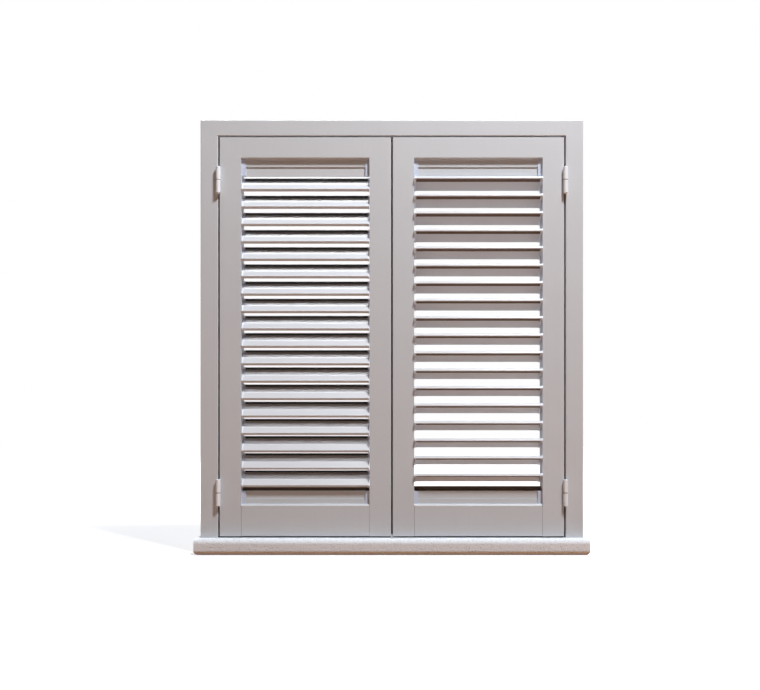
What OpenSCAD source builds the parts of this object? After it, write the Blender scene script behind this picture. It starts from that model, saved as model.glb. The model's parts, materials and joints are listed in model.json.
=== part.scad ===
// Pair of louvred window shutters in a three-sided frame on a stone sill.
// Each leaf has tilting slats that turn in pivot strips and move together
// through a link rod hidden in the channel of the meeting stile.
// Units are millimetres. X runs to the right, Y into the room, Z up.
// The origin lies on the bed of the sill, midway along it, in the plane of the frame's front.

/* [Frame] */
// Width over both jambs
frame_width = 1010; // [900:5:1200]
// Height of the jambs above the sill
frame_height = 1102; // [1000:1:1300]
// Face width of a jamb
jamb_face = 46; // [30:1:70]
// Face height of the head
head_face = 41; // [30:1:70]
// How far the rear stop reaches in behind the leaf
stop_reach = 14; // [8:1:20]
// Thickness of the rear stop
stop_thickness = 14; // [10:1:20]
// Gap between the leaf and the rear stop
stop_air = 4; // [3:0.5:6]
// Rounding of the long edges of the extruded members
edge_radius = 2; // [0.5:0.5:3]

/* [Wall fixings] */
// Diameter of a fixing hole through a jamb
fixing_d = 7; // [5:0.5:10]
// Height of the lower and upper fixing above sill and below frame top
fixing_inset = 250; // [220:5:320]
// Distance of the fixing holes behind the front face
fixing_setback = 22; // [15:1:35]

/* [Sill] */
// Height of the slab
sill_height = 42; // [35:1:60]
// How far the slab stands in front of the frame
sill_projection = 30; // [20:1:60]
// How far the slab runs on behind the frame
sill_back = 20; // [0:1:60]
// How far the slab runs past each jamb
sill_overhang = 11; // [0:1:40]
// Radius of the upper and lower front edge
sill_nose_radius = 13; // [5:0.5:16]
// Radius of the lower corner at each end
sill_end_radius = 12; // [4:0.5:16]

/* [Leaves] */
// Thickness of a leaf
leaf_thickness = 40; // [38:1:42]
// Gap between jamb and leaf
side_gap = 4; // [3:0.5:6]
// Gap between head and leaf
top_gap = 4; // [3:0.5:8]
// Gap between sill and leaf
bottom_gap = 4; // [3.5:0.5:8]
// Gap between the two leaves
meeting_gap = 4; // [3.5:0.5:6]
// Face width of a stile
stile_face = 57; // [48:1:75]
// Face height of the top rail
top_rail_face = 55; // [40:1:80]
// Face height of the bottom rail
bottom_rail_face = 85; // [60:1:120]
// Slope along the upper front edge of the bottom rail, which sheds the rain
rail_slope = 4.5; // [3:0.5:8]
// Chamfer at the ends of the bottom rail, where it meets the stiles
rail_end_chamfer = 1.5; // [0.5:0.1:2]
// How much the meeting edge falls back at the rear, so that the leaves pass each other
meeting_relief = 5; // [4:0.5:8]
// Depth of the square front part of the meeting edge
meeting_land = 14; // [8:1:20]

/* [Slats] */
// Number of slats in a leaf
slat_count = 18; // [18:1:18]
// Height from the opening's top down to the first pivot
first_pivot_drop = 62.5; // [61:0.5:80]
// Height from the opening's bottom up to the last pivot
last_pivot_rise = 68.5; // [66:0.5:90]
// Width of a slat from front to back
slat_chord = 50; // [48:0.5:51]
// Distance of the pivot behind the front
pivot_from_nose = 28.5; // [27:0.5:29]
// Height of the upper front edge above the pivot
nose_rise = 0.4; // [0:0.1:1]
// Radius of the upper front edge
nose_radius = 2.4; // [2:0.1:3]
// How far the drip lip along the front hangs below the pivot
lip_drop = 7.9; // [7:0.1:8.2]
// Thickness of the drip lip
lip_width = 3.6; // [3:0.1:4]
// How far the rounded edges stand out of the faces beside them
edge_bead = 0.2; // [0.1:0.05:0.3]
// Distance from the front to the crown, where the top is highest
crown_length = 18.5; // [15:0.5:22]
// Height of the crown above the pivot
crown_rise = 3.6; // [3:0.1:4]
// Height of the top above the pivot, at the back
tail_rise = 1.4; // [1:0.1:1.8]
// How far the underside lies below the pivot, at the lip
underside_drop = 2.4; // [2:0.1:3]
// How far the underside lies below the pivot, at the back
tail_drop = 1.6; // [1.2:0.1:2]
// Height of the rain stop along the back above the pivot
rain_stop_rise = 7; // [5:0.1:7.2]
// Thickness of the rain stop
rain_stop_thickness = 2; // [1.5:0.1:2.5]
// Thickness of an end cap
cap_thickness = 4; // [3:0.5:6]
// How far an end cap stands out around the slat's outline
cap_margin = 0.8; // [0.4:0.1:1]
// Running gap between end cap and stile
slat_end_gap = 1; // [0.5:0.1:2]
// Tilt of the left leaf's slats as they stand, nose down
left_tilt = 42.5; // [0:0.5:65]
// Tilt of the right leaf's slats as they stand, nose up is negative
right_tilt = -27.5; // [-30:0.5:65]
// Lowest tilt that the slats reach, nose up
tilt_min = -35; // [-35:1:-20]
// Highest tilt that the slats reach, nose down
tilt_max = 68; // [55:1:68]

/* [Slat drive] */
// Width of the channel along the inner face of each stile
channel_width = 32; // [30:1:33]
// Depth of that channel
channel_depth = 14; // [13:0.5:18]
// Thickness of the pivot strip that closes the channel
strip_thickness = 3; // [2:0.5:4]
// Diameter of a slat's pivot
pivot_d = 8; // [6:0.5:9]
// Radial clearance of pivots and crank pins
pivot_clearance = 0.3; // [0.2:0.05:0.5]
// Length of a plain pivot behind its strip
pivot_tail = 4; // [2:0.5:6]
// Distance from pivot to crank pin
crank_radius = 9; // [8:0.5:9]
// Thickness of a crank arm
crank_thickness = 3; // [2:0.5:4]
// Running gap on either side of a crank arm
crank_gap = 0.5; // [0.4:0.1:1]
// How far the riveted end of a pivot stands out of its crank arm
crank_rivet = 0.2; // [0.1:0.05:0.2]
// Diameter of a crank pin
crank_pin_d = 5; // [4:0.5:6]
// Shoulder of the crank pin on either side of its arm
crank_shoulder = 0.5; // [0.3:0.1:1]
// Width of the link rod
rod_width = 11; // [10:0.5:12]
// Thickness of the link rod
rod_thickness = 3; // [2:0.5:4]
// How far a crank pin stands out behind the link rod
crank_pin_tail = 1; // [0.5:0.5:2]
// How far the link rod runs past its end holes
rod_end = 8; // [6:0.5:12]

/* [Fillers] */
// Height of the filler above the first slat
top_filler_height = 44; // [30:1:44]
// Height of the front plate of the filler below the last slat
bottom_filler_height = 34; // [28:1:38]
// How far the upstand behind that plate rises above it
upstand_rise = 12; // [6:1:12]
// Distance of the upstand behind the leaf's face
upstand_setback = 26; // [25:0.5:30]
// Distance of a filler's plate behind the leaf's face
filler_setback = 12; // [10:0.5:15]
// Thickness of a filler's walls
filler_thickness = 3; // [2:0.5:4]
// Height of the raised band under the top rail
top_band_height = 20; // [10:1:24]
// Height of the raised band above the bottom rail
bottom_band_height = 13; // [8:1:20]
// How far the raised band stands in front of the plate
band_step = 2.5; // [1:0.5:4]
// Depth of the foot that is screwed to the rail
foot_depth = 15; // [8:1:20]
// Width of the end block that holds a filler
block_width = 11; // [8:1:14]
// Distance of the end block behind the leaf's face
block_setback = 8; // [6:0.5:12]
// Depth of the end block
block_depth = 8; // [6:1:10]

/* [Hinges] */
// Height of one hinge, both knuckles
hinge_height = 70; // [50:1:100]
// Diameter of a knuckle
knuckle_d = 12; // [10:0.5:12]
// Distance of the hinge's middle from the end of the leaf
hinge_inset = 115; // [80:1:150]
// Distance of the hinge axis in front of the leaf's face
axis_offset = 6.5; // [6.5:0.1:9]
// Diameter of the hinge pin
hinge_pin_d = 7; // [5:0.5:8]
// Radial clearance of the hinge pin
hinge_clearance = 0.08; // [0.05:0.01:0.1]
// Gap between the two knuckles
knuckle_gap = 0.4; // [0.2:0.1:1]
// Wall above the pin in the upper knuckle
knuckle_cap = 6; // [3:0.5:10]
// Chamfer at the outer ends of the knuckles
knuckle_chamfer = 1.2; // [0.5:0.1:2]
// Thickness of a hinge flag, let into the member
flag_thickness = 2; // [1.5:0.5:3]
// Depth of a hinge flag behind the face
flag_depth = 28; // [20:1:36]

/* [Flush bolts] */
// Diameter of a flush bolt
bolt_d = 8; // [6:0.5:10]
// Radial clearance of bolt and thumb stem
bolt_clearance = 0.3; // [0.2:0.05:0.5]
// Length of a flush bolt
bolt_length = 94; // [80:1:120]
// How far the bolt shoots down
bolt_travel = 14; // [10:1:16]
// How far the drawn bolt stays above the leaf's lower edge
bolt_recess = 1; // [0.5:0.5:3]
// Distance of the bolt behind the leaf's face
bolt_setback = 24; // [18:1:28]
// Height of the thumb stem above the leaf's lower edge
thumb_height = 70; // [50:1:80]
// Diameter of the thumb stem
thumb_stem_d = 6; // [4:0.5:7]
// Diameter of the thumb knob
thumb_knob_d = 14; // [10:0.5:18]
// Thickness of the thumb knob
thumb_knob_thickness = 6; // [4:0.5:8]
// Chamfer round the face of the thumb knob
thumb_knob_chamfer = 1.2; // [0.5:0.1:2]
// Gap between the thumb knob and the leaf
thumb_gap = 0.5; // [0.3:0.1:1]

/* [Centre stop] */
// Thickness of the keeper plate on the sill
keeper_thickness = 2.5; // [2:0.1:3]
// Width of the keeper plate past each bolt hole
keeper_margin = 14; // [10:1:24]
// Radial clearance of the bolt in its keeper
keeper_clearance = 0.8; // [0.5:0.1:1.5]
// Depth of the bolt's socket in the sill
socket_depth = 18; // [16:1:25]
// Height of the stop behind the leaves
stop_height = 18; // [10:1:30]
// Thickness of that stop
stop_wall = 6; // [4:0.5:10]
// Gap between the leaves and that stop
stop_gap = 0.5; // [0.3:0.1:2]
// Width of the nib that stands between the leaves
nib_width = 2.4; // [1.5:0.1:2.4]
// Distance of the nib behind the leaf's face
nib_setback = 3; // [1:0.5:8]
// How far the nib stands above the leaves' lower edge
nib_rise = 4; // [2:0.5:10]

/* [Hidden] */
$fn = 48;
overcut = 1;
stop_setback = leaf_thickness + stop_air;
frame_depth = stop_setback + stop_thickness;
leaf_width = (frame_width - 2 * jamb_face - 2 * side_gap - meeting_gap) / 2;
leaf_height = frame_height - head_face - top_gap - bottom_gap;
leaf_x = -frame_width / 2 + jamb_face + side_gap;
leaf_z = sill_height + bottom_gap;
opening_width = leaf_width - 2 * stile_face;
opening_height = leaf_height - top_rail_face - bottom_rail_face;
opening_top = leaf_height - top_rail_face;
slat_pitch = (opening_height - first_pivot_drop - last_pivot_rise) / (slat_count - 1);
slat_length = opening_width - 2 * slat_end_gap;
pivot_setback = leaf_thickness / 2;
channel_setback = (leaf_thickness - channel_width) / 2;
crank_start = strip_thickness + crank_gap;
rod_start = crank_start + crank_thickness + crank_gap;
crank_rest = -(tilt_min + tilt_max) / 2;
knuckle_length = (hinge_height - knuckle_gap) / 2;
hinge_axis = [-side_gap / 2, -axis_offset];
hinge_heights = [hinge_inset, leaf_height - hinge_inset];
bolt_x = leaf_width - stile_face / 2;
bolt_from_middle = (meeting_gap + stile_face) / 2;
SIDES = ["left", "right"];
coat = "#b5aea9";
coat_light = "#c9c6c4";
nylon = "#dfe3ea";
zinc = "#d4d3d1";
stone = "#cfc9c6";
steel = "#a9a9ab";

function two_digits(i) = i < 10 ? str("0", i) : str(i);
function slat_name(side, i) = str(side, "_slat_", two_digits(i));
function pivot_height(i) = opening_top - first_pivot_drop - (i - 1) * slat_pitch;
function tilt_of(side) = side == "left" ? left_tilt : right_tilt;
function shown(name) = node == "all" || node == name;

FRAME_NODES = ["left_jamb", "right_jamb", "head", "sill", "hinge_pintles", "centre_stop"];
LEAF_NODES = [
  "hinge_stile", "meeting_stile", "top_rail", "bottom_rail", "fillers",
  "pivot_strips", "hinge_knuckles", "link_rod", "flush_bolt"
];
NODES = concat(
  FRAME_NODES,
  [for (side = SIDES) for (name = LEAF_NODES) str(side, "_", name)],
  [for (side = SIDES) for (i = [1 : slat_count]) slat_name(side, i)]
);
node = "all";

// Shared forms

// Puts children, drawn for the left half, on the named side
module on_side(side) {
  if (side == "left") children();
  else mirror([1, 0, 0]) children();
}

// Puts children, drawn from the lower front corner at the hinge edge, in the leaf's place
module in_leaf(side) {
  on_side(side) translate([leaf_x, 0, leaf_z]) children();
}

// Lays an outline drawn in Y and Z along X
module along_x(length) {
  rotate([90, 0, 90]) linear_extrude(length) children();
}

// Outline of an extruded bar with four rounded edges
module bar_outline(width, depth) {
  translate([edge_radius, 0]) square([width - 2 * edge_radius, depth]);
  translate([0, edge_radius]) square([width, depth - 2 * edge_radius]);
  for (x = [edge_radius, width - edge_radius], y = [edge_radius, depth - edge_radius])
    translate([x, y]) circle(edge_radius);
}

// Frame

// Outline of a jamb or of the head, from its outer edge, with the stop behind the leaf
module frame_outline(face) {
  bar_outline(face, frame_depth);
  translate([face - 2 * edge_radius, stop_setback]) square([stop_reach + 2 * edge_radius, stop_thickness]);
}

// Room of the head, whose ends meet the jambs along a mitre
module head_room() {
  half = frame_width / 2;
  top = sill_height + frame_height;
  inner = [half - jamb_face, top - head_face];
  stop = inner - [stop_reach, stop_reach];
  translate([0, frame_depth + overcut, 0]) rotate([90, 0, 0]) linear_extrude(frame_depth + 2 * overcut)
    polygon([
      [-half, top], [-inner[0], inner[1]], [-stop[0], stop[1]],
      stop, inner, [half, top], [half, top + overcut], [-half, top + overcut]
    ]);
}

// Hinge flag, which is also the shape of its pocket, in leaf coordinates
module flag(x, low) {
  translate([x, -axis_offset, low]) cube([flag_thickness, axis_offset + flag_depth, knuckle_length]);
}

module pintle_flags() {
  for (h = hinge_heights) flag(-side_gap - flag_thickness, h - hinge_height / 2);
}

module knuckle_flags() {
  for (h = hinge_heights) flag(0, h + knuckle_gap / 2);
}

module jamb(side) {
  color(coat) difference() {
    on_side(side) translate([-frame_width / 2, 0, sill_height])
      linear_extrude(frame_height) frame_outline(jamb_face);
    head_room();
    in_leaf(side) pintle_flags();
    for (z = [fixing_inset, frame_height - fixing_inset])
      on_side(side) translate([-frame_width / 2 - overcut, fixing_setback, sill_height + z])
        rotate([0, 90, 0]) cylinder(d = fixing_d, h = jamb_face + 2 * overcut);
  }
}

module head() {
  color(coat) intersection() {
    translate([-frame_width / 2, 0, sill_height + frame_height])
      along_x(frame_width) mirror([0, 1]) rotate(90) mirror([0, 1]) frame_outline(head_face);
    head_room();
  }
}

// What is taken off a lower corner of the sill, drawn for the left end
module sill_corner() {
  difference() {
    translate([-overcut, -overcut]) square(sill_end_radius + overcut);
    translate([sill_end_radius, sill_end_radius]) circle(sill_end_radius);
  }
}

module sill() {
  width = frame_width + 2 * sill_overhang;
  depth = sill_projection + frame_depth + sill_back;
  color(stone) difference() {
    translate([-width / 2, -sill_projection, 0]) along_x(width) {
      translate([sill_nose_radius, 0]) square([depth - sill_nose_radius, sill_height]);
      translate([0, sill_nose_radius]) square([depth, sill_height - 2 * sill_nose_radius]);
      for (z = [sill_nose_radius, sill_height - sill_nose_radius])
        translate([sill_nose_radius, z]) circle(sill_nose_radius);
    }
    for (side = SIDES)
      on_side(side) translate([-width / 2, depth, 0]) rotate([90, 0, 0])
        linear_extrude(2 * depth) sill_corner();
    for (x = [-bolt_from_middle, bolt_from_middle])
      translate([x, bolt_setback, sill_height - socket_depth])
        cylinder(d = bolt_d + 2 * keeper_clearance, h = socket_depth + overcut);
  }
}

// Keeper plate for both bolts, with a stop behind the leaves and a nib between them
module centre_stop() {
  half = bolt_from_middle + bolt_d / 2 + keeper_margin;
  front = bolt_setback - bolt_d / 2 - keeper_margin / 2;
  back = leaf_thickness + stop_gap + stop_wall;
  color(zinc) translate([0, 0, sill_height]) difference() {
    union() {
      translate([-half, front, 0]) cube([2 * half, back - front, keeper_thickness]);
      translate([-half, leaf_thickness + stop_gap, 0]) cube([2 * half, stop_wall, stop_height]);
      translate([-nib_width / 2, nib_setback, 0])
        cube([nib_width, front - nib_setback + keeper_margin / 2, bottom_gap + nib_rise]);
    }
    for (x = [-bolt_from_middle, bolt_from_middle])
      translate([x, bolt_setback, -overcut])
        cylinder(d = bolt_d + 2 * keeper_clearance, h = keeper_thickness + 2 * overcut);
  }
}

// Hinges

// Knuckle that stands on its chamfered end, turned over for the upper one
module knuckle_barrel() {
  cylinder(d1 = knuckle_d - 2 * knuckle_chamfer, d2 = knuckle_d, h = knuckle_chamfer);
  translate([0, 0, knuckle_chamfer]) cylinder(d = knuckle_d, h = knuckle_length - knuckle_chamfer);
}

// Frame halves: lower knuckle, pin and flag
module hinge_pintles() {
  color(zinc) for (side = SIDES) in_leaf(side) {
    for (h = hinge_heights) translate([hinge_axis[0], hinge_axis[1], h - hinge_height / 2]) {
      knuckle_barrel();
      cylinder(d = hinge_pin_d, h = hinge_height - knuckle_cap);
    }
    pintle_flags();
  }
}

// Leaf halves: upper knuckle, bored for the pin, and flag
module hinge_knuckles(side) {
  color(zinc) in_leaf(side) difference() {
    union() {
      for (h = hinge_heights) translate([hinge_axis[0], hinge_axis[1], h + hinge_height / 2])
        mirror([0, 0, 1]) knuckle_barrel();
      knuckle_flags();
    }
    for (h = hinge_heights) translate([hinge_axis[0], hinge_axis[1], h - overcut])
      cylinder(d = hinge_pin_d + 2 * hinge_clearance, h = hinge_height / 2 - knuckle_cap + 2 * overcut);
  }
}

// Leaf members

// Channel for the slat drive, open towards the slats, from x onwards
module channel(x) {
  translate([x, channel_setback, bottom_rail_face])
    cube([channel_depth + overcut, channel_width, opening_height]);
}

// Outline of a stile, rounded at its outer edges and square where the rails meet it
module stile_outline() {
  translate([edge_radius, 0]) square([stile_face - edge_radius, leaf_thickness]);
  translate([0, edge_radius]) square([stile_face, leaf_thickness - 2 * edge_radius]);
  for (y = [edge_radius, leaf_thickness - edge_radius])
    translate([edge_radius, y]) circle(edge_radius);
}

module hinge_stile(side) {
  color(coat) in_leaf(side) difference() {
    linear_extrude(leaf_height) stile_outline();
    channel(stile_face - channel_depth);
    knuckle_flags();
  }
}

// Outline of the meeting stile, whose edge falls back behind the square land
module meeting_outline() {
  difference() {
    translate([stile_face, 0]) mirror([1, 0]) stile_outline();
    polygon([
      [stile_face, meeting_land],
      [stile_face + overcut, meeting_land],
      [stile_face + overcut, leaf_thickness + overcut],
      [stile_face - meeting_relief, leaf_thickness + overcut]
    ]);
  }
}

module meeting_stile(side) {
  slot_d = thumb_stem_d + 2 * bolt_clearance;
  color(coat) in_leaf(side) difference() {
    translate([leaf_width - stile_face, 0, 0]) linear_extrude(leaf_height) meeting_outline();
    channel(leaf_width - stile_face - overcut);
    translate([bolt_x, bolt_setback, -overcut])
      cylinder(d = bolt_d + 2 * bolt_clearance, h = overcut + bolt_recess + bolt_length + bolt_clearance);
    translate([bolt_x, bolt_setback, thumb_height]) {
      for (drop = [0, bolt_travel]) translate([0, 0, -drop])
        rotate([-90, 0, 0]) cylinder(d = slot_d, h = leaf_thickness);
      translate([-slot_d / 2, 0, -bolt_travel]) cube([slot_d, leaf_thickness, bolt_travel]);
    }
  }
}

module top_rail(side) {
  color(coat) in_leaf(side) translate([stile_face, 0, opening_top])
    along_x(opening_width) bar_outline(leaf_thickness, top_rail_face);
}

// Outline of the bottom rail in Y and Z, with its sloped upper front edge
module bottom_rail_outline() {
  difference() {
    bar_outline(leaf_thickness, bottom_rail_face);
    polygon([
      [-overcut, bottom_rail_face - rail_slope - overcut],
      [rail_slope + overcut, bottom_rail_face + overcut],
      [-overcut, bottom_rail_face + overcut]
    ]);
  }
}

module bottom_rail(side) {
  cut = rail_end_chamfer;
  color(coat) in_leaf(side) translate([stile_face, 0, 0]) difference() {
    along_x(opening_width) bottom_rail_outline();
    for (x = [0, opening_width])
      translate([x, 0, -overcut]) linear_extrude(bottom_rail_face + 2 * overcut)
        polygon([[-cut, 0], [0, -cut], [cut, 0], [0, cut]]);
  }
}

// Outline of a filler in Y and Z, standing on its foot
module filler_outline(height, band) {
  translate([filler_setback, 0]) square([filler_thickness, height]);
  translate([filler_setback - band_step, 0]) square([filler_thickness + band_step, band]);
  translate([filler_setback, 0]) square([foot_depth, filler_thickness]);
}

// Outline of the ledge and the rear upstand that keep rain out below the last slat
module upstand_outline() {
  reach = upstand_setback - filler_setback + filler_thickness;
  translate([filler_setback, bottom_filler_height - filler_thickness]) square([reach, filler_thickness]);
  translate([upstand_setback, bottom_filler_height - filler_thickness])
    square([filler_thickness, filler_thickness + upstand_rise]);
}

module fillers(side) {
  length = opening_width - 2 * block_width;
  color(coat_light) in_leaf(side) translate([stile_face + block_width, 0, 0]) {
    translate([0, 0, opening_top]) mirror([0, 0, 1])
      along_x(length) filler_outline(top_filler_height, top_band_height);
    translate([0, 0, bottom_rail_face]) along_x(length) {
      filler_outline(bottom_filler_height, bottom_band_height);
      upstand_outline();
    }
  }
}

// Slat drive

// Strips that close the channels and carry the pivots, with the end blocks of the fillers
module pivot_strips(side) {
  color(nylon) in_leaf(side) {
    difference() {
      for (x = [stile_face - strip_thickness, leaf_width - stile_face])
        translate([x, channel_setback, bottom_rail_face])
          cube([strip_thickness, channel_width, opening_height]);
      for (i = [1 : slat_count])
        translate([0, pivot_setback, pivot_height(i)]) rotate([0, 90, 0])
          cylinder(d = pivot_d + 2 * pivot_clearance, h = leaf_width);
    }
    for (x = [stile_face, leaf_width - stile_face - block_width]) translate([x, block_setback, 0]) {
      translate([0, 0, bottom_rail_face]) cube([block_width, block_depth, bottom_filler_height]);
      translate([0, 0, opening_top - top_filler_height])
        cube([block_width, block_depth, top_filler_height]);
    }
  }
}

// Puts children at the pivot of a slat, at the slat's own tilt
module at_pivot(side, i) {
  translate([0, pivot_setback, pivot_height(i)]) rotate([tilt_of(side), 0, 0]) children();
}

// Outline of a slat in Y and Z around its pivot, with a drip lip along the front
// and a rain stop along the back, grown all round
module slat_outline(grow) {
  front = -pivot_from_nose;
  tail = front + slat_chord;
  lip_radius = lip_width / 2;
  lip_height = lip_radius - lip_drop;
  lip_back = front + lip_width - edge_bead + grow;
  stop_front = tail - rain_stop_thickness - grow;
  translate([front + nose_radius, nose_rise - nose_radius]) circle(nose_radius + grow);
  translate([front + lip_radius, lip_height]) circle(lip_radius + grow);
  polygon([
    [front + edge_bead - grow, lip_height],
    [front + edge_bead - grow, nose_rise - nose_radius],
    [front + nose_radius, nose_rise - edge_bead + grow],
    [front + crown_length, crown_rise + grow],
    [stop_front, tail_rise + grow],
    [stop_front, rain_stop_rise + grow],
    [tail + grow, rain_stop_rise + grow],
    [tail + grow, -tail_drop - grow],
    [lip_back, -underside_drop - grow],
    [lip_back, lip_height]
  ]);
}

// Slat with its end caps, plain pivot at the hinge end and crank at the meeting end
module slat(side, i) {
  far_end = slat_end_gap + slat_length;
  socket = cap_thickness / 2;
  plain_pin = pivot_tail + strip_thickness + slat_end_gap + socket;
  crank_pin = socket + slat_end_gap + crank_start + crank_thickness + crank_rivet;
  color(coat_light) in_leaf(side) translate([stile_face, 0, 0]) at_pivot(side, i) {
    translate([slat_end_gap + socket, 0, 0]) along_x(slat_length - 2 * socket) slat_outline(0);
    for (x = [slat_end_gap, far_end - cap_thickness])
      translate([x, 0, 0]) along_x(cap_thickness) {
        slat_outline(cap_margin);
        circle(d = pivot_d + 2 * cap_margin);
      }
    translate([-strip_thickness - pivot_tail, 0, 0]) rotate([0, 90, 0]) cylinder(d = pivot_d, h = plain_pin);
    translate([far_end - socket, 0, 0]) rotate([0, 90, 0]) cylinder(d = pivot_d, h = crank_pin);
    translate([far_end + slat_end_gap + crank_start, 0, 0]) rotate([crank_rest, 0, 0]) crank();
  }
}

// Crank arm from the pivot to the pin that moves the link rod
module crank() {
  pin_length = crank_thickness + crank_gap + rod_thickness + crank_pin_tail;
  arm_width = crank_pin_d - 2 * crank_shoulder;
  translate([0, 0, -arm_width / 2]) cube([crank_thickness, crank_radius, arm_width]);
  translate([0, crank_radius, 0]) rotate([0, 90, 0]) cylinder(d = crank_pin_d, h = pin_length);
}

// Flat bar in the channel of the meeting stile, with a hole for each crank pin
module link_rod(side) {
  angle = tilt_of(side) + crank_rest;
  shift = [0, crank_radius * cos(angle), crank_radius * sin(angle)];
  low = pivot_height(slat_count);
  high = pivot_height(1);
  color(steel) in_leaf(side)
    translate([leaf_width - stile_face + rod_start, pivot_setback, 0] + shift) difference() {
      translate([0, -rod_width / 2, low - rod_end])
        cube([rod_thickness, rod_width, high - low + 2 * rod_end]);
      for (i = [1 : slat_count]) translate([-overcut, 0, pivot_height(i)]) rotate([0, 90, 0])
        cylinder(d = crank_pin_d + 2 * pivot_clearance, h = rod_thickness + 2 * overcut);
    }
}

// Flush bolt in the lower end of the meeting stile, drawn up, with its thumb knob on the room side
module flush_bolt(side) {
  stem = leaf_thickness - bolt_setback + thumb_gap;
  rim = thumb_knob_thickness - thumb_knob_chamfer;
  color(steel) in_leaf(side) translate([bolt_x, bolt_setback, 0]) {
    translate([0, 0, bolt_recess]) cylinder(d = bolt_d, h = bolt_length);
    translate([0, 0, thumb_height]) rotate([-90, 0, 0]) {
      cylinder(d = thumb_stem_d, h = stem);
      translate([0, 0, stem]) cylinder(d = thumb_knob_d, h = rim);
      translate([0, 0, stem + rim])
        cylinder(d1 = thumb_knob_d, d2 = thumb_knob_d - 2 * thumb_knob_chamfer, h = thumb_knob_chamfer);
    }
  }
}

if (shown("left_jamb")) jamb("left");
if (shown("right_jamb")) jamb("right");
if (shown("head")) head();
if (shown("sill")) sill();
if (shown("hinge_pintles")) hinge_pintles();
if (shown("centre_stop")) centre_stop();
for (side = SIDES) {
  if (shown(str(side, "_hinge_stile"))) hinge_stile(side);
  if (shown(str(side, "_meeting_stile"))) meeting_stile(side);
  if (shown(str(side, "_top_rail"))) top_rail(side);
  if (shown(str(side, "_bottom_rail"))) bottom_rail(side);
  if (shown(str(side, "_fillers"))) fillers(side);
  if (shown(str(side, "_pivot_strips"))) pivot_strips(side);
  if (shown(str(side, "_hinge_knuckles"))) hinge_knuckles(side);
  if (shown(str(side, "_link_rod"))) link_rod(side);
  if (shown(str(side, "_flush_bolt"))) flush_bolt(side);
  for (i = [1 : slat_count]) if (shown(slat_name(side, i))) slat(side, i);
}
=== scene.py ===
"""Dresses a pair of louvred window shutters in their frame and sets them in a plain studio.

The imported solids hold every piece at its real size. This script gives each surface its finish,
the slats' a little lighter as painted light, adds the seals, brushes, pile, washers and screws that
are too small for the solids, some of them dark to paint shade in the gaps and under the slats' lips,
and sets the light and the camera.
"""

import json
import logging
import math
from dataclasses import dataclass
from enum import Enum
from typing import Any, Optional, Sequence

import bpy
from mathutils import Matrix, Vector


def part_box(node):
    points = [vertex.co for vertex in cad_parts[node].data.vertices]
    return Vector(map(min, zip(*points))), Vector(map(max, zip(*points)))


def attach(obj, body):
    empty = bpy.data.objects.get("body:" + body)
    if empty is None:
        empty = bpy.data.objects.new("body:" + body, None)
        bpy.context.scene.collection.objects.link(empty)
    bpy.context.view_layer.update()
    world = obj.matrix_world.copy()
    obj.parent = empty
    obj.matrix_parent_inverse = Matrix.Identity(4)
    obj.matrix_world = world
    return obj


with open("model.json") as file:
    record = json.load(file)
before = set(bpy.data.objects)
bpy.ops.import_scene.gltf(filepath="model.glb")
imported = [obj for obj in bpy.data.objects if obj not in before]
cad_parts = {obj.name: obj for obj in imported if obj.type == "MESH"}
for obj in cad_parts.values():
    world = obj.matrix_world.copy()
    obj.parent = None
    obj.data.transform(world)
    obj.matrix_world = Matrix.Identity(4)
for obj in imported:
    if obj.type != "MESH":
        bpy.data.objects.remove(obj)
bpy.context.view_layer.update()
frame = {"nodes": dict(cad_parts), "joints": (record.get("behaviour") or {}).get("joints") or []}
LOG = logging.getLogger("shutters")
MM = 0.001

# Gaps between the solids, and sizes that their boxes don't give
SIDE_GAP = 4 * MM
TOP_GAP = 4 * MM
STOP_GAP = 4 * MM
KEEPER_THICKNESS = 2.5 * MM
HINGE_HEIGHTS = (161 * MM, 984 * MM)

# Middle of the part, which the lamps face
PART_MIDDLE = (0.0, 0.0, 0.55)

# Finer layers in a noise pattern
FEW_LAYERS = 2.0
SOME_LAYERS = 3.0
MANY_LAYERS = 4.0

# Edges of a mesh that turn more than this stay sharp
CREASE_DEG = 35

WHITE = "#ffffff"

Outline = list[tuple[float, float]]
Point = tuple[float, float, float]
Ring = list[Point]
Skin = tuple[list[Point], list[list[int]]]


class Side(Enum):
    """The two halves of the window, by the sign of X."""

    LEFT = -1
    RIGHT = 1

    @property
    def word(self) -> str:
        """The side's name as it stands in node and body names."""
        return self.name.lower()


class HingeHalf(Enum):
    """The two halves of a hinge, by the way they lie from its middle."""

    FRAME = -1
    LEAF = 1


class Slot(Enum):
    """Material slots of the record."""

    POWDER_COAT = "powder_coat"
    SLAT_COAT = "slat_coat"
    NYLON = "nylon"
    ZINC = "zinc"
    STEEL = "steel"
    STONE = "stone"


# Small helpers for materials


def linear(code: str) -> tuple[float, float, float, float]:
    """Turns an sRGB hex colour into linear light.

    Args:
        code: Colour such as "#b5aea9".

    Returns:
        Linear red, green, blue and an alpha of 1.
    """
    channels = [int(code[i:i + 2], 16) / 255 for i in (1, 3, 5)]
    light = [c / 12.92 if c <= 0.04045 else ((c + 0.055) / 1.055) ** 2.4 for c in channels]
    return (light[0], light[1], light[2], 1.0)


def per_metre(size_mm: float) -> float:
    """Scale of a pattern whose features are size_mm wide, in object metres."""
    return 1000 / size_mm


def add_node(tree: bpy.types.NodeTree, kind: str, inputs: Optional[dict[Any, Any]] = None,
             **settings: Any) -> bpy.types.Node:
    """Adds a node, sets it up and links it.

    Args:
        tree: Node tree that takes the node.
        kind: Blender's name for the node type.
        inputs: Input name or number with a value, or with the output socket that feeds it.
        settings: Properties of the node.

    Returns:
        The new node.
    """
    node = tree.nodes.new(kind)
    for name, value in settings.items():
        setattr(node, name, value)
    for key, value in (inputs or {}).items():
        if isinstance(value, bpy.types.NodeSocket):
            tree.links.new(value, node.inputs[key])
        else:
            node.inputs[key].default_value = value
    return node


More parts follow.
